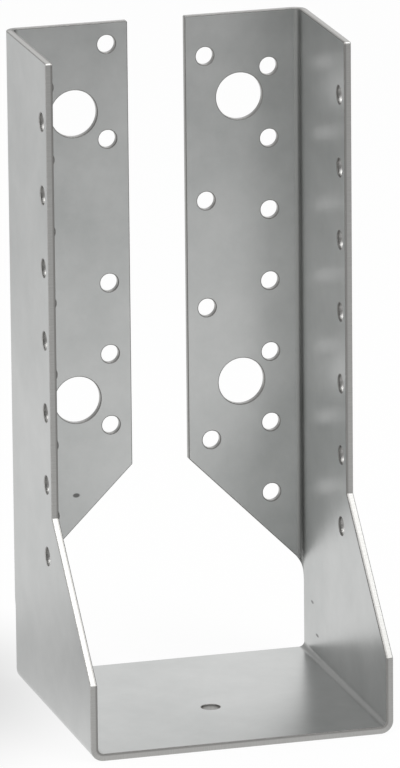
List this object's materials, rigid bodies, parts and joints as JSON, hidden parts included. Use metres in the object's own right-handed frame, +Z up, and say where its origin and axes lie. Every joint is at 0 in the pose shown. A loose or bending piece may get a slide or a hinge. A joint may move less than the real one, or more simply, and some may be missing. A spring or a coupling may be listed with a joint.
{
  "type": "joist hanger",
  "caption": "Face-fix joist hanger folded from galvanised steel sheet: a seat between tapered side plates, with punched nailing flanges turned inwards.",
  "frame": {"origin": "bottom centre of the hanger: middle of its width and depth, on the underside of the seat", "axes": "+Z up along the joist's depth, +Y towards the header that the flanges lie against, +X across the joist to the right flange"},
  "size_m": [0.084, 0.08, 0.182],
  "materials": {
    "galvanised_steel": "satin hot-dip galvanised"
  },
  "bodies": {
    "root": {"hanger": "galvanised_steel"}
  },
  "joints": []
}
